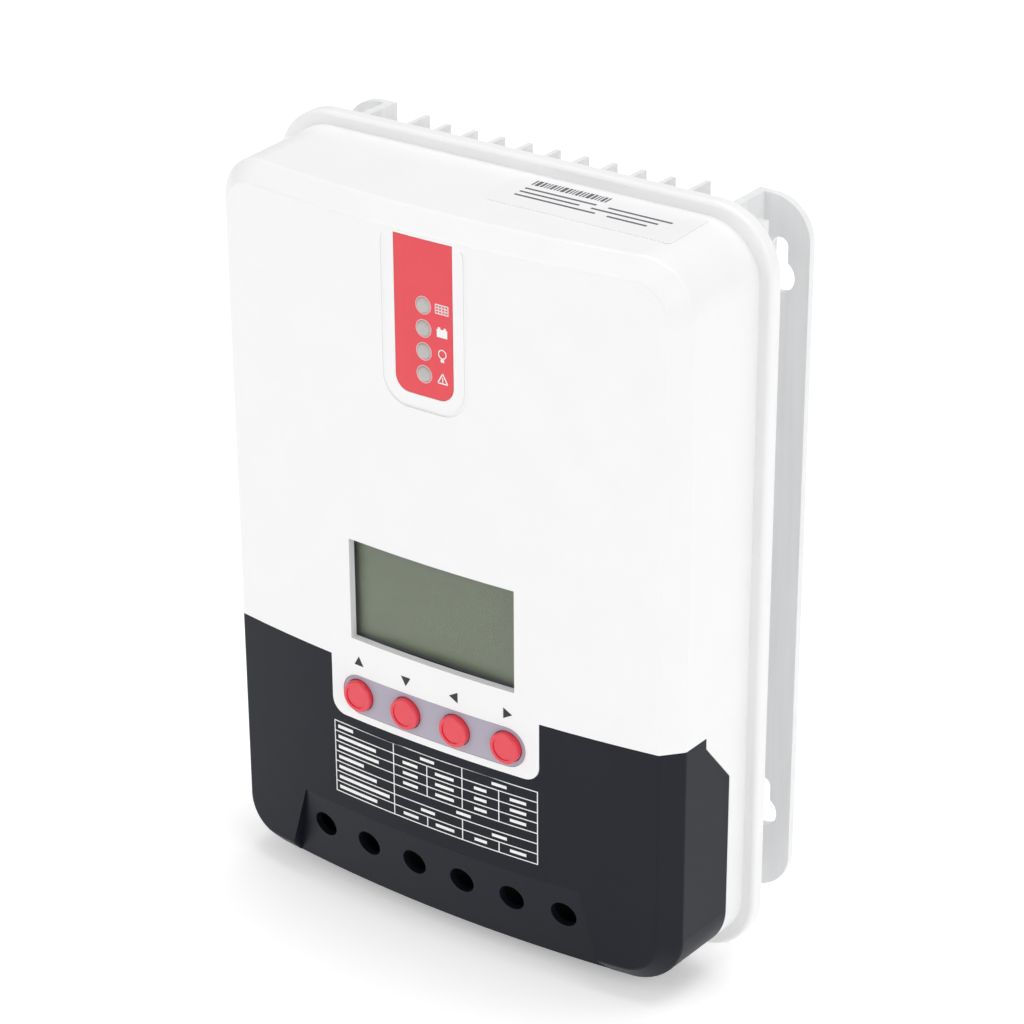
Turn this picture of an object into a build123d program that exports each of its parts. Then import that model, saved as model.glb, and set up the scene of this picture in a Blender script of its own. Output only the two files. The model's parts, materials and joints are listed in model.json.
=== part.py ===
from build123d import *
import os

# Wall-mounted solar charge controller. Origin: centre of the four keyholes, on the wall plane.
# +X to the right seen from the front, +Z up, and the front faces -Y. "Depth" is the distance
# from the wall plane towards the front, so Plane.XZ.offset(depth) is a plane at that depth.
os.makedirs("parts", exist_ok=True)

# casing
DEPTH = 72.5                          # wall plane to the middle of the front
CASE_Z = -3.0                         # height of the casing's centre
RIM_W, RIM_H, RIM_R = 173.0, 238.0, 20.0
RIM_BACK, RIM_FRONT = 25.0, 29.5
BODY_W, BODY_H, BODY_R = 165.0, 230.0, 17.0
DRAFT = 2.0                           # degrees
FRONT_R = 461.0                       # radius of the convex front, about a vertical axis
CROWN = 5.2                           # chamfer round the front
WALL = 2.5

# split between the white cover and the dark terminal cover
SPLIT_Z = -37.0
SIDE_REAR = 37.7                      # depth of the terminal cover's rear edge
SIDE_STEP = 50.0
SIDE_STEP_Z = -55.0
NOTCH_W, NOTCH_BOTTOM = 76.0, -56.5
COVER_GAP = 0.15

# heat sink
SINK_TOP, SINK_BOTTOM = 111.0, -113.5
PLATE_W = 160.0
PLATE_BACK, PLATE_FRONT = 21.5, 25.0
SINK_WALL_X, SINK_WALL_T = 63.9, 3.0
FLANGE_X, FLANGE_T, FLANGE_R = 82.2, 2.5, 13.0
FIN_PITCH, FIN_T, FIN_COUNT = 9.87, 1.7, 11
FIN_TIP, OUTER_FIN_TIP = 6.95, 4.1
HOLES_X, HOLES_Z = 145.0, 174.0       # keyhole spacing
KEYHOLE_R, KEYHOLE_SLOT_R, KEYHOLE_RISE = 5.0, 2.6, 9.0

# display and keys
LCD_W, LCD_H, LCD_Z = 59.5, 32.9, -12.7
LENS_FRONT = 68.8
BOARD_T = 1.6
DISPLAY_BOARD_FRONT = 59.6
KEY_Z, KEY_PITCH, KEY_R, KEY_PROUD = -47.6, 18.0, 5.0, 1.8
KEY_STOP_R, KEY_CLEAR = 6.2, 0.2
KEYPAD_W, KEYPAD_H, KEYPAD_T = 67.0, 13.0, 0.8
SWITCH_W, SWITCH_T = 6.2, 3.5
PLUNGER_R = 1.6
LABEL_W, LABEL_TOP, LABEL_BOTTOM, LABEL_T = 20.2, 104.0, 57.0, 0.5
LED_R, LED_TOP_Z, LED_PITCH = 2.4, 84.5, 6.93

# terminals
TERMINAL_PITCH, TERMINAL_Z, TERMINALS = 17.9, -100.4, 6
ACCESS_R = 4.3
LANDING_TOP, LANDING_LEAN, LANDING_W = -89.5, 10.9, 102.0
LANDING_STEP = 0.2                    # how far the landing's top edge steps in from the front
BACKING_INSET = 0.8
BLOCK_BACK, BLOCK_FRONT, BLOCK_TOP, BLOCK_BOTTOM = 32.0, 58.0, -88.0, -112.0
CAGE_W, CAGE_H, CAGE_BACK, CAGE_FRONT = 12.0, 10.0, 34.5, 46.8
SCREW_R, HEAD_R = 2.5, 4.1
BUSBAR_BACK, BUSBAR_T, BUSBAR_W = 42.6, 1.5, 8.0

# electronics
MAIN_BOARD_BACK = 40.0
SHELF_Z = -62.0

KEY_NAMES = ["up", "down", "left", "right"]
LED_NAMES = ["solar", "battery", "load", "fault"]
key_x = [(i - 1.5) * KEY_PITCH for i in range(4)]
terminal_x = [(i - 2.5) * TERMINAL_PITCH for i in range(TERMINALS)]
boss_points = [(x, z) for x in (-74.0, 74.0) for z in (-90.0, 100.0)]
standoff_points = [(x, z) for x in (-66.0, 66.0) for z in (-52.0, 22.0, 92.0)]


def surface(x):
    """Depth of the convex front at x."""
    return DEPTH - FRONT_R + (FRONT_R**2 - x**2) ** 0.5


def save(part, label):
    part.label = label
    export_step(part, f"parts/{label}.step")


def body_form(inset, back):
    """The casing's outer form, moved inwards by inset, from depth back to the crowned front."""
    with BuildPart() as form:
        with BuildSketch(Plane.XZ.offset(RIM_FRONT)):
            with Locations((0, CASE_Z)):
                RectangleRounded(BODY_W - 2 * inset, BODY_H - 2 * inset, BODY_R - inset)
        extrude(amount=DEPTH + 3 - RIM_FRONT, taper=DRAFT)
        with BuildSketch(Plane.XY.offset(-200)):
            with Locations((0, FRONT_R - DEPTH)):
                Circle(FRONT_R - inset)
        extrude(amount=400, mode=Mode.INTERSECT)
        front = form.faces().sort_by(Axis.Y)[0]
        chamfer(front.edges(), CROWN)
        if inset <= 0:
            crown_edges = form.edges().filter_by(lambda e: -72.6 < e.center().Y < -55)
            fillet([e for e in crown_edges if e.length > 12], 1.4)
        if back < RIM_FRONT:
            with BuildSketch(Plane.XZ.offset(back)):
                with Locations((0, CASE_Z)):
                    RectangleRounded(BODY_W - 2 * inset, BODY_H - 2 * inset, BODY_R - inset)
            extrude(amount=RIM_FRONT - back)
    return form.part


def notch(gap):
    """The key panel's outline, which hangs below the split line."""
    with BuildPart() as panel:
        with BuildSketch(Plane.XZ.offset(55)):
            with Locations((0, (NOTCH_BOTTOM - 20) / 2)):
                RectangleRounded(NOTCH_W + 2 * gap, -20 - NOTCH_BOTTOM + 2 * gap, 5)
        extrude(amount=30)
    return panel.part


def terminal_region(gap):
    """The space that the dark cover takes, drawn in from its edges by gap."""
    with BuildPart() as region:
        with BuildSketch(Plane.YZ.offset(-100)):
            with BuildLine():
                Polyline(
                    (-90, SPLIT_Z - gap), (-SIDE_STEP - gap, SPLIT_Z - gap),
                    (-SIDE_STEP - gap, SPLIT_Z - 3.5 - gap), (-SIDE_REAR - gap, SIDE_STEP_Z - gap),
                    (-SIDE_REAR - gap, -130), (-90, -130), close=True)
            make_face()
        extrude(amount=200)
        add(notch(gap), mode=Mode.SUBTRACT)
    return region.part


outer_form = body_form(0, RIM_FRONT)
inner_form = body_form(WALL, RIM_BACK - 1)

# ---- white front cover
with BuildPart() as front_cover:
    with BuildSketch(Plane.XZ.offset(RIM_BACK)):
        with Locations((0, CASE_Z)):
            RectangleRounded(RIM_W, RIM_H, RIM_R)
    extrude(amount=RIM_FRONT - RIM_BACK)
    fillet(front_cover.faces().sort_by(Axis.Y)[0].edges(), 1.5)
    add(outer_form)
    add(inner_form, mode=Mode.SUBTRACT)
    add(terminal_region(0), mode=Mode.SUBTRACT)
    # shelf between the electronics and the terminals
    with BuildSketch(Plane.XZ.offset(RIM_BACK)):
        with Locations((0, SHELF_Z)):
            Rectangle(BODY_W - 2 * WALL + 0.4, 2)
    extrude(amount=SIDE_REAR - RIM_BACK - 0.3)
    with BuildSketch(Plane.XZ.offset(SIDE_REAR - 0.3)):
        with Locations((0, SHELF_Z)):
            Rectangle(BODY_W - 2 * WALL - 4, 2)
    extrude(amount=56 - SIDE_REAR + 0.3)
    with BuildSketch(Plane.XZ.offset(56)):
        with Locations((0, SHELF_Z)):
            Rectangle(116, 2)
    extrude(amount=8)
    with BuildSketch(Plane.XZ.offset(BUSBAR_BACK - 0.3)):
        with Locations(*[(x, SHELF_Z) for x in terminal_x]):
            Rectangle(BUSBAR_W + 0.6, 4)
    extrude(amount=BUSBAR_T + 0.6, mode=Mode.SUBTRACT)
    # tie from the shelf up to the key panel
    with BuildSketch(Plane.XZ.offset(62.5)):
        with Locations((0, (SHELF_Z + NOTCH_BOTTOM) / 2)):
            Rectangle(NOTCH_W - 12, NOTCH_BOTTOM - SHELF_Z + 2)
    extrude(amount=5.2)
    # screw bosses in the corners
    with BuildSketch(Plane.XZ.offset(PLATE_FRONT)):
        with Locations(*boss_points):
            Circle(6.5)
        with Locations(*boss_points):
            Circle(1.7, mode=Mode.SUBTRACT)
    extrude(amount=12)
    # display opening
    with BuildSketch(Plane.XZ.offset(60)):
        with Locations((0, LCD_Z)):
            Rectangle(LCD_W, LCD_H)
    extrude(amount=20, mode=Mode.SUBTRACT)
    # recess and bores for the keys
    with BuildSketch(Plane.XZ.offset(surface(KEYPAD_W / 2) - KEYPAD_T)):
        with Locations((0, KEY_Z)):
            SlotOverall(KEYPAD_W, KEYPAD_H)
    extrude(amount=10, mode=Mode.SUBTRACT)
    with BuildSketch(Plane.XZ.offset(60)):
        with Locations(*[(x, KEY_Z) for x in key_x]):
            Circle(KEY_R + KEY_CLEAR)
    extrude(amount=20, mode=Mode.SUBTRACT)
    # recess for the indicator label, with a groove round it
    with BuildSketch(Plane.XZ.offset(DEPTH - LABEL_T - 0.15)):
        with Locations((0, (LABEL_TOP + LABEL_BOTTOM) / 2)):
            RectangleRounded(LABEL_W + 0.2, LABEL_TOP - LABEL_BOTTOM + 0.2, 4.8)
        with Locations((0, LABEL_TOP - 5)):
            Rectangle(LABEL_W + 0.2, 10.2)
    extrude(amount=5, mode=Mode.SUBTRACT)
    with BuildSketch(Plane.XZ.offset(DEPTH - 0.45)):
        with Locations((0, (LABEL_TOP + LABEL_BOTTOM) / 2)):
            RectangleRounded(LABEL_W + 9.6, LABEL_TOP - LABEL_BOTTOM + 9.6, 9)
            RectangleRounded(LABEL_W + 7.2, LABEL_TOP - LABEL_BOTTOM + 7.2, 8, mode=Mode.SUBTRACT)
        with Locations((0, LABEL_TOP + 5)):
            Rectangle(60, 12, mode=Mode.SUBTRACT)
    extrude(amount=3, mode=Mode.SUBTRACT)
    with BuildSketch(Plane.XZ.offset(60)):
        with Locations(*[(0, LED_TOP_Z - i * LED_PITCH) for i in range(4)]):
            Circle(LED_R + 0.1)
    extrude(amount=20, mode=Mode.SUBTRACT)
save(front_cover.part, "front_cover")

# ---- the landing round the screwdriver holes: a convex face like the front's, leaning inwards
# its axis lies one front radius behind the line where the landing leaves the front
inward = Vector(0, 1, 0).rotate(Axis.X, LANDING_LEAN)
landing_plane = Plane(origin=Vector(0, LANDING_STEP - DEPTH, LANDING_TOP) + inward * FRONT_R, x_dir=(1, 0, 0),
                      z_dir=Vector(0, 0, -1).rotate(Axis.X, LANDING_LEAN))
with BuildPart() as landing_cut_form:
    with BuildSketch(Plane.XZ.offset(55)):
        with BuildLine():
            Polyline((-LANDING_W / 2, LANDING_TOP), (LANDING_W / 2, LANDING_TOP),
                     (LANDING_W / 2 + 9, -120), (-LANDING_W / 2 - 9, -120), close=True)
        make_face()
    extrude(amount=30)
    with BuildSketch(landing_plane):
        Circle(FRONT_R)
    extrude(amount=60, both=True, mode=Mode.SUBTRACT)
landing_cut = landing_cut_form.part

with BuildPart() as landing_back_form:
    with BuildSketch(Plane.XZ.offset(58)):
        with Locations((0, LANDING_TOP - 12)):
            Rectangle(LANDING_W + 22, 25)
    extrude(amount=30)
    add(body_form(BACKING_INSET, RIM_FRONT), mode=Mode.INTERSECT)
    with BuildSketch(landing_plane):
        Circle(FRONT_R - WALL)
    extrude(amount=60, both=True, mode=Mode.SUBTRACT)
landing_back = landing_back_form.part

# ---- dark terminal cover, with the six screwdriver holes and six cable entries
with BuildPart() as terminal_cover:
    add(outer_form)
    add(body_form(WALL, RIM_FRONT - 1), mode=Mode.SUBTRACT)
    add(terminal_region(COVER_GAP), mode=Mode.INTERSECT)
    # sloping landing round the holes, backed by a thicker wall
    add(landing_back)
    add(landing_cut, mode=Mode.SUBTRACT)
    with BuildSketch(Plane.XZ.offset(50)):
        with Locations(*[(x, TERMINAL_Z) for x in terminal_x]):
            Circle(ACCESS_R)
    extrude(amount=30, mode=Mode.SUBTRACT)
    with BuildSketch(Plane.XY.offset(-130)):
        with Locations(*[(x, -43.0) for x in terminal_x]):
            Rectangle(12.5, 15)
    extrude(amount=16.5, mode=Mode.SUBTRACT)
save(terminal_cover.part, "terminal_cover")

# ---- extruded heat sink with turned-out wall flanges
with BuildPart() as heat_sink:
    with BuildSketch(Plane.XY.offset(SINK_BOTTOM)):
        with Locations((0, -(PLATE_BACK + PLATE_FRONT) / 2)):
            Rectangle(PLATE_W, PLATE_FRONT - PLATE_BACK)
        with Locations(*[(s * (SINK_WALL_X + SINK_WALL_T / 2), -PLATE_BACK / 2) for s in (-1, 1)]):
            Rectangle(SINK_WALL_T, PLATE_BACK)
        flange_mid = (SINK_WALL_X + FLANGE_X) / 2
        with Locations(*[(s * flange_mid, -FLANGE_T / 2) for s in (-1, 1)]):
            Rectangle(FLANGE_X - SINK_WALL_X, FLANGE_T)
        for i in range(FIN_COUNT):
            tip = OUTER_FIN_TIP if i in (0, FIN_COUNT - 1) else FIN_TIP
            with Locations(((i - (FIN_COUNT - 1) / 2) * FIN_PITCH, -(tip + PLATE_BACK) / 2)):
                Rectangle(FIN_T, PLATE_BACK - tip)
    extrude(amount=SINK_TOP - SINK_BOTTOM)
    flange_corners = heat_sink.edges().filter_by(Axis.Y).filter_by(
        lambda e: abs(e.center().X) > FLANGE_X - 1 and e.center().Y > -FLANGE_T)
    fillet(flange_corners, FLANGE_R)
    with BuildSketch(Plane.XZ):
        with GridLocations(HOLES_X, HOLES_Z, 2, 2):
            Circle(KEYHOLE_R)
        with Locations(*[(sx * HOLES_X / 2, sz * HOLES_Z / 2 + KEYHOLE_RISE / 2) for sx in (-1, 1)
                         for sz in (-1, 1)]):
            SlotCenterToCenter(KEYHOLE_RISE, 2 * KEYHOLE_SLOT_R, rotation=90)
    extrude(amount=FLANGE_T, mode=Mode.SUBTRACT)
    with BuildSketch(Plane.XZ.offset(PLATE_BACK)):
        with Locations(*boss_points):
            Circle(2.1)
    extrude(amount=PLATE_FRONT - PLATE_BACK, mode=Mode.SUBTRACT)
save(heat_sink.part, "heat_sink")

# ---- screws that hold the cover to the heat sink, driven from behind
with BuildPart() as cover_screws:
    with BuildSketch(Plane.XZ.offset(PLATE_BACK - 2.4)):
        with Locations(*boss_points):
            Circle(3.6)
    extrude(amount=2.4)
    with BuildSketch(Plane.XZ.offset(PLATE_BACK)):
        with Locations(*boss_points):
            Circle(1.6)
    extrude(amount=14)
    with BuildSketch(Plane.XZ.offset(PLATE_BACK - 2.4)):
        with Locations(*boss_points):
            Rectangle(4.4, 0.9)
            Rectangle(0.9, 4.4)
    extrude(amount=1.3, mode=Mode.SUBTRACT)
save(cover_screws.part, "cover_screws")

# ---- indicator label and its four light guides
with BuildPart() as indicator_label:
    with BuildSketch(Plane.XZ.offset(DEPTH - LABEL_T - 0.1)):
        with Locations((0, (LABEL_TOP + LABEL_BOTTOM) / 2)):
            RectangleRounded(LABEL_W, LABEL_TOP - LABEL_BOTTOM, 4.7)
        with Locations((0, LABEL_TOP - 5)):
            Rectangle(LABEL_W, 10)
        with Locations(*[(0, LED_TOP_Z - i * LED_PITCH) for i in range(4)]):
            Circle(LED_R + 0.1, mode=Mode.SUBTRACT)
    extrude(amount=LABEL_T)
save(indicator_label.part, "indicator_label")

INDICATOR_BOARD_FRONT = 62.0
for i, name in enumerate(LED_NAMES):
    with BuildPart() as led:
        with BuildSketch(Plane.XZ.offset(INDICATOR_BOARD_FRONT)):
            with Locations((0, LED_TOP_Z - i * LED_PITCH)):
                Circle(LED_R)
        extrude(amount=DEPTH + 0.6 - INDICATOR_BOARD_FRONT)
        fillet(led.faces().sort_by(Axis.Y)[0].edges(), 1.1)
    save(led.part, f"led_{name}")

with BuildPart() as indicator_board:
    with BuildSketch(Plane.XZ.offset(INDICATOR_BOARD_FRONT - BOARD_T)):
        with Locations((0, LED_TOP_Z - 1.5 * LED_PITCH)):
            Rectangle(18, 36)
    extrude(amount=BOARD_T)
save(indicator_board.part, "indicator_board")

# ---- display
with BuildPart() as lcd_lens:
    with BuildSketch(Plane.XZ.offset(LENS_FRONT - 1.2)):
        with Locations((0, LCD_Z)):
            Rectangle(LCD_W + 3, LCD_H + 3)
    extrude(amount=1.2)
save(lcd_lens.part, "lcd_lens")

with BuildPart() as lcd_panel:
    with BuildSketch(Plane.XZ.offset(LENS_FRONT - 3.4)):
        with Locations((0, LCD_Z)):
            Rectangle(LCD_W + 2, LCD_H + 2)
    extrude(amount=2.0)
save(lcd_panel.part, "lcd_panel")

with BuildPart() as lcd_frame:
    with BuildSketch(Plane.XZ.offset(DISPLAY_BOARD_FRONT)):
        with Locations((0, LCD_Z)):
            Rectangle(LCD_W + 6, LCD_H + 6)
            Rectangle(LCD_W + 2.4, LCD_H + 2.4, mode=Mode.SUBTRACT)
    extrude(amount=6.6)
save(lcd_frame.part, "lcd_frame")

with BuildPart() as lcd_backlight:
    with BuildSketch(Plane.XZ.offset(DISPLAY_BOARD_FRONT)):
        with Locations((0, LCD_Z)):
            Rectangle(LCD_W + 2, LCD_H + 2)
    extrude(amount=LENS_FRONT - 3.6 - DISPLAY_BOARD_FRONT)
save(lcd_backlight.part, "lcd_backlight")

with BuildPart() as display_board:
    with BuildSketch(Plane.XZ.offset(DISPLAY_BOARD_FRONT - BOARD_T)):
        with Locations((0, -25.0)):
            Rectangle(74, 68)
    extrude(amount=BOARD_T)
save(display_board.part, "display_board")

# ---- keypad plate, keys, switches
with BuildPart() as keypad_plate:
    with BuildSketch(Plane.XZ.offset(surface(KEYPAD_W / 2) - KEYPAD_T + 0.05)):
        with Locations((0, KEY_Z)):
            SlotOverall(KEYPAD_W - 0.3, KEYPAD_H - 0.3)
        with Locations(*[(x, KEY_Z) for x in key_x]):
            Circle(KEY_R + KEY_CLEAR, mode=Mode.SUBTRACT)
    extrude(amount=5)
    with BuildSketch(Plane.XY.offset(-100)):
        with Locations((0, FRONT_R - DEPTH)):
            Circle(FRONT_R - 0.1)
    extrude(amount=200, mode=Mode.INTERSECT)
save(keypad_plate.part, "keypad_plate")

SWITCH_FRONT = DISPLAY_BOARD_FRONT + SWITCH_T
for x, name in zip(key_x, KEY_NAMES):
    stop_front = surface(abs(x) + KEY_STOP_R) - WALL - 0.3
    with BuildPart() as key:
        with BuildSketch(Plane.XZ.offset(stop_front - 1.0)):
            with Locations((x, KEY_Z)):
                Circle(KEY_STOP_R)
        extrude(amount=1.0)
        with BuildSketch(Plane.XZ.offset(stop_front)):
            with Locations((x, KEY_Z)):
                Circle(KEY_R)
        extrude(amount=surface(x) + KEY_PROUD - stop_front)
        fillet(key.faces().sort_by(Axis.Y)[0].edges(), 0.6)
        # shallow dish in the top
        with BuildSketch(Plane.XZ.offset(surface(x) + KEY_PROUD - 0.35)):
            with Locations((x, KEY_Z)):
                Circle(KEY_R - 1.3)
        extrude(amount=1, mode=Mode.SUBTRACT)
    save(key.part, f"key_{name}")
    with BuildPart() as plunger:
        with BuildSketch(Plane.XZ.offset(SWITCH_FRONT - 1.0)):
            with Locations((x, KEY_Z)):
                Circle(PLUNGER_R)
        extrude(amount=stop_front - 1.0 - (SWITCH_FRONT - 1.0))
    save(plunger.part, f"switch_plunger_{name}")

with BuildPart() as switch_bodies:
    with BuildSketch(Plane.XZ.offset(DISPLAY_BOARD_FRONT)):
        with Locations(*[(x, KEY_Z) for x in key_x]):
            Rectangle(SWITCH_W, SWITCH_W)
    extrude(amount=SWITCH_T)
    with BuildSketch(Plane.XZ.offset(SWITCH_FRONT - 2.0)):
        with Locations(*[(x, KEY_Z) for x in key_x]):
            Circle(PLUNGER_R + 0.2)
    extrude(amount=3, mode=Mode.SUBTRACT)
save(switch_bodies.part, "switch_bodies")

# ---- terminal block with its screws, cages and busbars
CAVITY_W, CAVITY_FRONT, WEB_FRONT = 13.0, 50.4, 53.0
with BuildPart() as terminal_block:
    with BuildSketch(Plane.XZ.offset(BLOCK_BACK)):
        with Locations((0, (BLOCK_TOP + BLOCK_BOTTOM) / 2)):
            Rectangle(TERMINALS * TERMINAL_PITCH + 1, BLOCK_TOP - BLOCK_BOTTOM)
    extrude(amount=BLOCK_FRONT - BLOCK_BACK)
    with BuildSketch(Plane.XZ.offset(CAGE_BACK - 0.3)):
        with Locations(*[(x, -103.0) for x in terminal_x]):
            Rectangle(CAVITY_W, 20)
    extrude(amount=CAVITY_FRONT - CAGE_BACK + 0.3, mode=Mode.SUBTRACT)
    with BuildSketch(Plane.XZ.offset(BUSBAR_BACK - 0.2)):
        with Locations(*[(x, -90.0) for x in terminal_x]):
            Rectangle(BUSBAR_W + 0.4, 10)
    extrude(amount=BUSBAR_T + 0.4, mode=Mode.SUBTRACT)
    with BuildSketch(Plane.XZ.offset(CAVITY_FRONT - 1)):
        with Locations(*[(x, TERMINAL_Z) for x in terminal_x]):
            Circle(SCREW_R + 0.1)
    extrude(amount=10, mode=Mode.SUBTRACT)
    with BuildSketch(Plane.XZ.offset(WEB_FRONT)):
        with Locations(*[(x, TERMINAL_Z) for x in terminal_x]):
            Circle(HEAD_R + 0.2)
    extrude(amount=10, mode=Mode.SUBTRACT)
save(terminal_block.part, "terminal_block")

with BuildPart() as terminal_busbars:
    with BuildSketch(Plane.XZ.offset(BUSBAR_BACK)):
        with Locations(*[(x, -78.0) for x in terminal_x]):
            Rectangle(BUSBAR_W, 56)
        with Locations(*[(x, TERMINAL_Z) for x in terminal_x]):
            Circle(SCREW_R + 0.3, mode=Mode.SUBTRACT)
    extrude(amount=BUSBAR_T)
save(terminal_busbars.part, "terminal_busbars")

for i, x in enumerate(terminal_x):
    with BuildPart() as screw:
        with BuildSketch(Plane.XZ.offset(40.3)):
            with Locations((x, TERMINAL_Z)):
                Circle(SCREW_R)
        extrude(amount=WEB_FRONT + 0.1 - 40.3)
        with BuildSketch(Plane.XZ.offset(WEB_FRONT + 0.1)):
            with Locations((x, TERMINAL_Z)):
                Circle(HEAD_R)
        extrude(amount=3.5)
        with BuildSketch(Plane.XZ.offset(WEB_FRONT + 2.0)):
            with Locations((x, TERMINAL_Z)):
                Rectangle(6, 1.1)
                Rectangle(1.1, 6)
        extrude(amount=2, mode=Mode.SUBTRACT)
    save(screw.part, f"terminal_screw_{i + 1}")
    with BuildPart() as cage:
        with BuildSketch(Plane.XZ.offset(CAGE_BACK)):
            with Locations((x, TERMINAL_Z)):
                Rectangle(CAGE_W, CAGE_H)
        extrude(amount=CAGE_FRONT - CAGE_BACK)
        with BuildSketch(Plane.XZ.offset(CAGE_BACK + 2.0)):
            with Locations((x, TERMINAL_Z)):
                Rectangle(CAGE_W - 3, CAGE_H + 1)
        extrude(amount=CAGE_FRONT - CAGE_BACK - 4.5, mode=Mode.SUBTRACT)
        with BuildSketch(Plane.XZ.offset(CAGE_FRONT - 3)):
            with Locations((x, TERMINAL_Z)):
                Circle(SCREW_R + 0.06)
        extrude(amount=5, mode=Mode.SUBTRACT)
    save(cage.part, f"clamp_cage_{i + 1}")

# ---- power electronics behind the cover
with BuildPart() as main_board:
    with BuildSketch(Plane.XZ.offset(MAIN_BOARD_BACK)):
        with Locations((0, 20.0)):
            Rectangle(146, 160)
        with Locations(*standoff_points):
            Circle(1.7, mode=Mode.SUBTRACT)
    extrude(amount=BOARD_T)
save(main_board.part, "main_board")

with BuildPart() as board_standoffs:
    with BuildSketch(Plane.XZ.offset(PLATE_FRONT)):
        with Locations(*standoff_points):
            Circle(3.5)
    extrude(amount=MAIN_BOARD_BACK - PLATE_FRONT)
save(board_standoffs.part, "board_standoffs")

with BuildPart() as board_screws:
    with BuildSketch(Plane.XZ.offset(MAIN_BOARD_BACK)):
        with Locations(*standoff_points):
            Circle(1.5)
    extrude(amount=BOARD_T)
    with BuildSketch(Plane.XZ.offset(MAIN_BOARD_BACK + BOARD_T)):
        with Locations(*standoff_points):
            Circle(2.9)
    extrude(amount=2)
save(board_screws.part, "board_screws")

BOARD_FACE = MAIN_BOARD_BACK + BOARD_T
with BuildPart() as capacitors:
    with BuildSketch(Plane.XZ.offset(BOARD_FACE)):
        with Locations(*[((i - 1.5) * 22.0, 50.0) for i in range(4)]):
            Circle(8.0)
    extrude(amount=16)
    fillet(capacitors.faces().sort_by(Axis.Y)[0:4].edges(), 0.8)
save(capacitors.part, "capacitors")

with BuildPart() as inductors:
    for x in (-44.0, 44.0):
        with BuildSketch(Plane.XZ.offset(BOARD_FACE)):
            with Locations((x, 0.0)):
                Circle(14.0)
                Circle(6.0, mode=Mode.SUBTRACT)
        extrude(amount=12)
save(inductors.part, "inductors")

with BuildPart() as fuses:
    for x in (-48.0, 48.0):
        with BuildSketch(Plane.XZ.offset(BOARD_FACE)):
            with Locations((x, -38.0)):
                RectangleRounded(18, 6, 1)
        extrude(amount=14)
save(fuses.part, "fuses")

with BuildPart() as thermal_pad:
    with BuildSketch(Plane.XZ.offset(PLATE_FRONT)):
        with Locations((0, 70.0)):
            Rectangle(110, 20)
    extrude(amount=0.5)
save(thermal_pad.part, "thermal_pad")

with BuildPart() as mosfets:
    with BuildSketch(Plane.XZ.offset(PLATE_FRONT + 0.5)):
        with Locations(*[((i - 2.5) * 18.0, 70.0) for i in range(6)]):
            Rectangle(10, 15)
    extrude(amount=4.6)
save(mosfets.part, "mosfets")

with BuildPart() as mosfet_clamp_bar:
    with BuildSketch(Plane.XZ.offset(PLATE_FRONT + 5.1)):
        with Locations((0, 70.0)):
            Rectangle(112, 9)
    extrude(amount=3)
save(mosfet_clamp_bar.part, "mosfet_clamp_bar")

with BuildPart() as ribbon_cable:
    with BuildSketch(Plane.XZ.offset(BOARD_FACE)):
        with Locations((0, -20.0)):
            Rectangle(22, 1.2)
    extrude(amount=DISPLAY_BOARD_FRONT - BOARD_T - BOARD_FACE)
save(ribbon_cable.part, "ribbon_cable")

# ---- blank rating label, which follows the casing's top
with BuildPart() as rating_label:
    add(body_form(-0.2, RIM_FRONT))
    add(outer_form, mode=Mode.SUBTRACT)
    with BuildSketch(Plane.XY.offset(100)):
        with Locations((37.0, -42.5)):
            RectangleRounded(62, 20, 1.5)
    extrude(amount=30, mode=Mode.INTERSECT)
save(rating_label.part, "rating_label")
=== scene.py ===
import json
import math

import bpy
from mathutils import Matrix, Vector


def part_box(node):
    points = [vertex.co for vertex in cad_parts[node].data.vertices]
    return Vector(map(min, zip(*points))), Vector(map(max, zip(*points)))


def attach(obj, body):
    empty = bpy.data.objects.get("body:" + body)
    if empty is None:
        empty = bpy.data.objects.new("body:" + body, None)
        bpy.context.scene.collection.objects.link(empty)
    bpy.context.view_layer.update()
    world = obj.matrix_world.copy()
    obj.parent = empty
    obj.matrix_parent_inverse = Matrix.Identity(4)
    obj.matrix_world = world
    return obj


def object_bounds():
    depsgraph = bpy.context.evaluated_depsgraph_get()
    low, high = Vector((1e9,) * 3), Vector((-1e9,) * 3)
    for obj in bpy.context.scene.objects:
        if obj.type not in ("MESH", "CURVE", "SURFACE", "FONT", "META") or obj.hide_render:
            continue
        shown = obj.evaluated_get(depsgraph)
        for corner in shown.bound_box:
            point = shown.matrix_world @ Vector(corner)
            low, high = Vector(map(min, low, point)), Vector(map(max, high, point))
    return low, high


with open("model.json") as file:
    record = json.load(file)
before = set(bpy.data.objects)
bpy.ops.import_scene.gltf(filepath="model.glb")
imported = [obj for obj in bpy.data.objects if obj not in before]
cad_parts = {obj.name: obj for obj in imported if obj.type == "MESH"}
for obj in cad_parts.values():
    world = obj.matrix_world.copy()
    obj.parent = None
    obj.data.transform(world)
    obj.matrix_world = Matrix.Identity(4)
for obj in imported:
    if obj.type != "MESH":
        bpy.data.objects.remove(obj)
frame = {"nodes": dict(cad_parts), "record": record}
cad_low, cad_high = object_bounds()
NODES = frame["nodes"]

MM = 0.001
KEYS = ["up", "down", "left", "right"]
LEDS = ["solar", "battery", "load", "fault"]

# The convex front: its depth worked out from the cover's own box, and its curve about a vertical axis given
# as a radius
cover_low, cover_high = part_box("front_cover")
FRONT_Y = cover_low.y
FRONT_R = 0.461
INK = 0.07 * MM                      # how far a print stands off the surface


def front_y(x):
    """Where the casing's convex front is at x."""
    return FRONT_Y + FRONT_R - math.sqrt(FRONT_R**2 - x**2)


# ---------------------------------------------------------------- materials
FINE_GRAIN = 40                      # the fine relief's scale, as a multiple of the broad drift's
RELIEF_DEPTH = 0.3 * MM
ROUGH_DRIFT = 0.04


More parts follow.
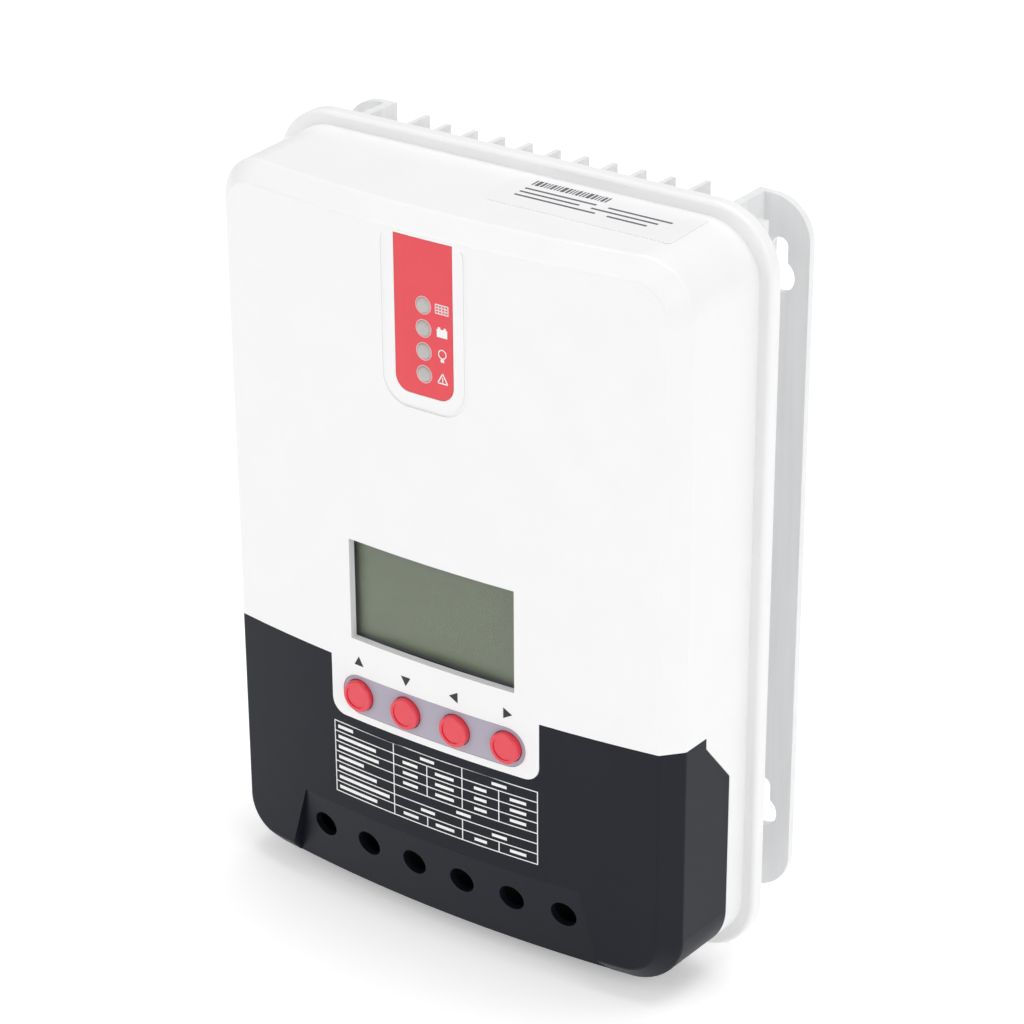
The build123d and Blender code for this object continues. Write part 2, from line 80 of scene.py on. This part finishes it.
def material(name, color, rough, metallic=0.0, coat=0.0, spread=0.03, grain=60.0, bump=0.02,
             stretch=(1, 1, 1), transmission=0.0, ior=1.5, gloss=0.5, glow=0.0):
    """A procedural finish: colour and roughness drift a little, over a fine moulded or drawn grain."""
    mat = bpy.data.materials.new(name)
    mat.use_nodes = True
    tree = mat.node_tree
    shader = tree.nodes["Principled BSDF"]
    shader.inputs["Metallic"].default_value = metallic
    shader.inputs["Coat Weight"].default_value = coat
    shader.inputs["Transmission Weight"].default_value = transmission
    shader.inputs["IOR"].default_value = ior
    shader.inputs["Specular IOR Level"].default_value = gloss
    shader.inputs["Emission Color"].default_value = (1, 1, 1, 1)
    shader.inputs["Emission Strength"].default_value = glow
    coords = tree.nodes.new("ShaderNodeTexCoord")
    mapping = tree.nodes.new("ShaderNodeMapping")
    mapping.inputs["Scale"].default_value = stretch
    tree.links.new(coords.outputs["Object"], mapping.inputs["Vector"])
    broad = tree.nodes.new("ShaderNodeTexNoise")
    broad.inputs["Scale"].default_value = grain
    broad.inputs["Detail"].default_value = 3
    tree.links.new(mapping.outputs["Vector"], broad.inputs["Vector"])
    ramp = tree.nodes.new("ShaderNodeValToRGB")
    for element, factor in zip(ramp.color_ramp.elements, (1 - spread, 1 + spread)):
        element.color = [min(1, c * factor) for c in color] + [1]
    ramp.color_ramp.elements[0].position = 0.3
    ramp.color_ramp.elements[1].position = 0.7
    tree.links.new(broad.outputs["Fac"], ramp.inputs["Fac"])
    tree.links.new(ramp.outputs["Color"], shader.inputs["Base Color"])
    drift = tree.nodes.new("ShaderNodeMapRange")
    drift.inputs["To Min"].default_value = max(0, rough - ROUGH_DRIFT)
    drift.inputs["To Max"].default_value = rough + ROUGH_DRIFT
    tree.links.new(broad.outputs["Fac"], drift.inputs["Value"])
    tree.links.new(drift.outputs["Result"], shader.inputs["Roughness"])
    fine = tree.nodes.new("ShaderNodeTexNoise")
    fine.inputs["Scale"].default_value = grain * FINE_GRAIN
    tree.links.new(mapping.outputs["Vector"], fine.inputs["Vector"])
    relief = tree.nodes.new("ShaderNodeBump")
    relief.inputs["Strength"].default_value = bump
    relief.inputs["Distance"].default_value = RELIEF_DEPTH
    tree.links.new(fine.outputs["Fac"], relief.inputs["Height"])
    tree.links.new(relief.outputs["Normal"], shader.inputs["Normal"])
    return mat


FINISHES = {
    "white_casing": material("white moulding", (0.86, 0.86, 0.865), 0.36, coat=0.15, spread=0.008),
    "dark_casing": material("dark moulding", (0.006, 0.008, 0.014), 0.45, spread=0.1,
                            bump=0.05, gloss=0.2),
    "sink_coating": material("sink coat", (0.82, 0.825, 0.83), 0.4, metallic=0.05,
                             stretch=(8, 8, 0.4), bump=0.1),
    "zinc_steel": material("zinc steel", (0.6, 0.6, 0.58), 0.28, metallic=1.0, grain=200, bump=0.05),
    "tinned_brass": material("tinned brass", (0.78, 0.72, 0.58), 0.25, metallic=1.0, grain=200, bump=0.05),
    "red_label": material("red film", (0.74, 0.022, 0.04), 0.22, coat=0.5, spread=0.02),
    "red_key": material("red key", (0.76, 0.03, 0.055), 0.24, coat=0.4, spread=0.02),
    "circuit_board": material("solder mask", (0.02, 0.16, 0.06), 0.35, spread=0.2),
    "clear_lens": material("clear lens", (0.97, 0.99, 0.97), 0.05, transmission=1.0,
                           spread=0.005, bump=0.0, ior=1.3),
    "lcd_glass": material("display", (0.125, 0.15, 0.095), 0.3, spread=0.03, grain=20, bump=0.0),
    "black_plastic": material("black plastic", (0.02, 0.02, 0.022), 0.45, spread=0.15),
    "white_plastic": material("white plastic", (0.8, 0.8, 0.78), 0.4),
    "grey_plate": material("grey plate", (0.40, 0.37, 0.45), 0.42, spread=0.03, bump=0.06),
    "capacitor_sleeve": material("capacitor sleeve", (0.02, 0.02, 0.05), 0.25, spread=0.1),
    "copper_winding": material("copper winding", (0.6, 0.22, 0.08), 0.3, metallic=0.8, grain=150, bump=0.3),
    "fuse_body": material("fuse body", (0.05, 0.4, 0.1), 0.25),
    "silicone_pad": material("silicone pad", (0.5, 0.5, 0.55), 0.7),
    "ribbon": material("ribbon", (0.4, 0.4, 0.43), 0.5, stretch=(20, 1, 1)),
    "label_film": material("label film", (0.84, 0.84, 0.85), 0.3, spread=0.01),
    "led_guide": material("light guide", (0.72, 0.7, 0.68), 0.12, transmission=0.35, spread=0.04),
}
WHITE_INK = material("white ink", (0.86, 0.86, 0.86), 0.5, spread=0.04, grain=300)
DARK_INK = material("dark ink", (0.012, 0.012, 0.014), 0.5, spread=0.2, grain=300)
# one grey serves both the rating label's print and the painted shade round the display
GREY_INK_AND_SHADE = material("grey ink and painted shade", (0.1, 0.1, 0.11), 0.5, spread=0.1, grain=300)
PALE_RING = material("pale ring", (0.8, 0.45, 0.47), 0.4, spread=0.04, grain=300)

SHARP_ANGLE = math.radians(28)
for part in frame["record"]["subparts"]:
    node = NODES[part["node"]]
    node.data.materials.clear()
    node.data.materials.append(FINISHES[part["material_slot"]])
    node.data.polygons.foreach_set("use_smooth", [True] * len(node.data.polygons))
    node.data.set_sharp_from_angle(angle=SHARP_ANGLE)
# the lens is clear, so it casts no shadow on the display behind it
NODES["lcd_lens"].visible_shadow = False


# ---------------------------------------------------------------- prints and small pieces
def mesh_piece(name, verts, faces, mat, body="housing"):
    mesh = bpy.data.meshes.new(name)
    mesh.from_pydata(verts, [], faces)
    mesh.validate()
    mesh.materials.append(mat)
    piece = bpy.data.objects.new(name, mesh)
    bpy.context.scene.collection.objects.link(piece)
    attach(piece, body)
    return piece


def prisms(outlines, place):
    """Closed thin plates over several outlines. place(u, v, lift) puts a flat point, lifted or not."""
    verts, faces = [], []
    for outline in outlines:
        start, n = len(verts), len(outline)
        verts += [place(u, v, 1) for u, v in outline] + [place(u, v, 0) for u, v in outline]
        faces.append([start + i for i in range(n)])
        faces.append([start + n + i for i in reversed(range(n))])
        for i in range(n):
            j = (i + 1) % n
            faces.append([start + j, start + i, start + n + i, start + n + j])
    return verts, faces


def on_front(u, v, lift):
    """u and v in millimetres on the front: across, and up."""
    x = u * MM
    return (x, front_y(x) - INK * lift + INK * 0.5 * (1 - lift), v * MM)


def print_piece(name, outlines, mat, place=on_front):
    """A print over the outlines, on the convex front unless another surface is given."""
    verts, faces = prisms(outlines, place)
    return mesh_piece(name, verts, faces, mat)


def bar(u0, v0, u1, v1):
    """A rectangle as an outline, split across its width so that it can follow the curve."""
    steps = max(1, round(abs(u1 - u0) / 4))
    us = [u0 + (u1 - u0) * i / steps for i in range(steps + 1)]
    return [(u, v0) for u in us] + [(u, v1) for u in reversed(us)]


def ring(cx, cz, inner, outer, parts=24):
    """A flat ring as a fan of four-sided outlines."""
    out = []
    for i in range(parts):
        a, b = [2 * math.pi * (i + k) / parts for k in (0, 1)]
        out.append([(cx + r * math.cos(t), cz + r * math.sin(t))
                    for r, t in ((inner, a), (outer, a), (outer, b), (inner, b))])
    return out


def stroke(points, width):
    """A line of that width through the points, as four-sided outlines."""
    out = []
    for (u0, v0), (u1, v1) in zip(points, points[1:]):
        length = math.hypot(u1 - u0, v1 - v0)
        nu, nv = -(v1 - v0) / length * width / 2, (u1 - u0) / length * width / 2
        out.append([(u0 + nu, v0 + nv), (u0 - nu, v0 - nv), (u1 - nu, v1 - nv), (u1 + nu, v1 + nv)])
    return out


def centre(node):
    low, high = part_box(node)
    return (low + high) / 2 / MM


# arrows above the keys
ARROW_LIFT, ARROW = 11.0, 2.0
arrows = []
for key, turn in zip(KEYS, (90, 270, 180, 0)):
    c = centre(f"key_{key}")
    corners = [math.radians(turn + a) for a in (0, 120, 240)]
    arrows.append([(c.x + ARROW * math.cos(a), c.z + ARROW_LIFT + ARROW * math.sin(a)) for a in corners])
print_piece("key_arrows", arrows, DARK_INK)

# the specification table: a ruled grid with neutral bars in place of words
TABLE_HALF, TABLE_TOP, TABLE_BOTTOM, ROWS = 37.5, -59.7, -84.2, 7
COLUMNS = [-37.5, -14.3, -1.7, 11.2, 24.2, 37.5]
row_h = (TABLE_TOP - TABLE_BOTTOM) / ROWS
rules = []
LINE = 0.32
for r in range(ROWS + 1):
    z = TABLE_TOP - r * row_h
    rules.append(bar(-TABLE_HALF - LINE / 2, z - LINE / 2, TABLE_HALF + LINE / 2, z + LINE / 2))
# which of the inner column lines cross each row
CROSSED = [(1, 3), (1, 2, 3, 4), (1, 2, 3, 4), (1, 2, 3, 4), (1,), (1, 3), (1, 2, 3, 4)]
for r, lines in enumerate(CROSSED):
    top, bottom = TABLE_TOP - r * row_h, TABLE_TOP - (r + 1) * row_h
    for c in (0,) + lines + (5,):
        rules.append([(COLUMNS[c] - LINE / 2, bottom), (COLUMNS[c] + LINE / 2, bottom),
                      (COLUMNS[c] + LINE / 2, top), (COLUMNS[c] - LINE / 2, top)])
HEADING_LENGTHS = (6, 15, 16, 10, 15, 20, 15)
words = []
for r, lines in enumerate(CROSSED):
    middle = TABLE_TOP - (r + 0.5) * row_h
    words.append(bar(-36.2, middle - 0.55, -36.2 + HEADING_LENGTHS[r], middle + 0.55))
    stops = list(lines) + [5]
    for a, b in zip(stops, stops[1:]):
        mid = (COLUMNS[a] + COLUMNS[b]) / 2
        half = 2.6 if b - a > 1 else 2.2 + 0.6 * ((r * 3 + a) % 3)
        words.append(bar(mid - half, middle - 0.5, mid + half, middle + 0.5))
print_piece("table_rules", rules, WHITE_INK)
print_piece("table_bars", words, WHITE_INK)

# pictograms and rings on the indicator label
label_low, label_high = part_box("indicator_label")


def on_label(u, v, lift):
    """u and v in millimetres on the flat film: across, and up."""
    return (u * MM, label_low.y - INK * (lift - 0.3), v * MM)


icons, halos = [], []
ICON_X, W = 6.4, 0.28
for led in LEDS:
    c = centre(f"led_{led}")
    x, z = ICON_X, c.z
    halos += ring(c.x, z, 2.42, 2.75)
    if led == "solar":
        for k in range(5):
            icons += stroke([(x - 2.2 + k * 1.1, z - 1.3), (x - 2.2 + k * 1.1, z + 1.3)], W)
        for k in range(4):
            icons += stroke([(x - 2.3, z - 1.3 + k * 0.87), (x + 2.3, z - 1.3 + k * 0.87)], W)
    elif led == "battery":
        icons += [bar(x - 1.8, z - 1.4, x + 1.8, z + 1.0), bar(x - 1.4, z + 1.0, x - 0.6, z + 1.6),
                  bar(x + 0.6, z + 1.0, x + 1.4, z + 1.6)]
    elif led == "load":
        icons += ring(x, z + 0.5, 1.15, 1.45) + [bar(x - 0.6, z - 1.9, x + 0.6, z - 1.0)]
    else:
        icons += stroke([(x - 1.7, z - 1.4), (x + 1.7, z - 1.4), (x, z + 1.6), (x - 1.7, z - 1.4)], W + 0.1)
        icons += [bar(x - 0.15, z - 1.0, x + 0.15, z + 0.4)]
print_piece("label_icons", icons, WHITE_INK, on_label)
print_piece("label_rings", halos, PALE_RING, on_label)

# stripes on the rating label, which lies on the casing's sloping top
plate_low, plate_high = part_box("rating_label")
slope = math.tan(math.radians(2.0))


def on_top(u, v, lift):
    """u across and v towards the wall, in millimetres from the label's front left corner."""
    y = plate_low.y + v * MM
    top = plate_high.z - (plate_high.y - y) * slope
    return (plate_low.x + u * MM, y, top + INK * (lift - 0.3))


stripes = []
BARCODE_LEFT, BARCODE_WIDTHS = 6.0, (0.5, 0.9, 0.4, 1.2, 0.5, 0.4, 0.8)
at = BARCODE_LEFT
for i in range(21):
    width = BARCODE_WIDTHS[(i * 3) % 7]
    stripes.append([(at, 15.0), (at + width, 15.0), (at + width, 18.4), (at, 18.4)])
    at += width + 0.55
for i, (start, end) in enumerate(((6, 30), (34, 55), (6, 26), (30, 52), (6, 33), (37, 50))):
    v = 11.8 - 2.6 * (i // 2)
    stripes.append([(start, v), (end, v), (end, v + 0.8), (start, v + 0.8)])
print_piece("rating_stripes", stripes, GREY_INK_AND_SHADE, on_top)

# a thin dark band round the display's viewing area: painted shade standing in for the shaded inner wall of
# the display's recess
pane_low, pane_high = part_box("lcd_panel")
SHADE_BAND = 1.3


def on_panel(u, v, lift):
    return (u * MM, pane_low.y - INK * (lift - 0.3), v * MM)


left, right = pane_low.x / MM, pane_high.x / MM
bottom, top = pane_low.z / MM, pane_high.z / MM
shade_bars = [bar(left, bottom, right, bottom + SHADE_BAND),
              bar(left, top - SHADE_BAND, right, top),
              bar(left, bottom + SHADE_BAND, left + SHADE_BAND, top - SHADE_BAND),
              bar(right - SHADE_BAND, bottom + SHADE_BAND, right, top - SHADE_BAND)]
print_piece("lcd_painted_shade", shade_bars, GREY_INK_AND_SHADE, on_panel)

# ---------------------------------------------------------------- stage, light and camera
FLOOR_HALF, FLOOR_GAP = 6.0, 0.5 * MM
floor_corners = [(-FLOOR_HALF, -FLOOR_HALF, 0), (FLOOR_HALF, -FLOOR_HALF, 0),
                 (FLOOR_HALF, FLOOR_HALF, 0), (-FLOOR_HALF, FLOOR_HALF, 0)]
floor_mesh = bpy.data.meshes.new("floor")
floor_mesh.from_pydata(floor_corners, [], [(0, 1, 2, 3)])
floor = bpy.data.objects.new("floor", floor_mesh)
floor.location.z = cad_low.z - FLOOR_GAP
floor_mesh.materials.append(
    material("pale floor", (0.93, 0.93, 0.93), 0.8, spread=0.005, grain=3, bump=0.0, glow=0.3))
bpy.context.scene.collection.objects.link(floor)

SKY = 0.5
world = bpy.data.worlds.new("studio")
bpy.context.scene.world = world
world.use_nodes = True
world.node_tree.nodes["Background"].inputs["Color"].default_value = (1, 1, 1, 1)
world.node_tree.nodes["Background"].inputs["Strength"].default_value = SKY


def softbox(name, place, size, power):
    light = bpy.data.lights.new(name, "AREA")
    light.shape = "SQUARE"
    light.size = size
    light.energy = power
    lamp = bpy.data.objects.new(name, light)
    lamp.location = place
    lamp.rotation_euler = (-Vector(place)).to_track_quat("-Z", "Y").to_euler()
    bpy.context.scene.collection.objects.link(lamp)


softbox("front_left", (-0.9, -1.5, 0.9), 1.2, 8.5)
softbox("right", (1.7, -0.5, 0.8), 1.2, 8)
softbox("top", (0.1, 0.3, 1.8), 1.4, 17)

CAMERA_AT = (0.51663, -0.74695, 0.43)
CAMERA_TURN = (64.27, 0.29, 35.67)
camera_data = bpy.data.cameras.new("camera")
camera_data.lens = 116.07
camera_data.sensor_width = 36
camera_data.clip_start = 0.01
camera = bpy.data.objects.new("camera", camera_data)
camera.location = CAMERA_AT
camera.rotation_euler = [math.radians(a) for a in CAMERA_TURN]
bpy.context.scene.collection.objects.link(camera)
bpy.context.scene.camera = camera
bpy.context.scene.view_settings.view_transform = "Standard"
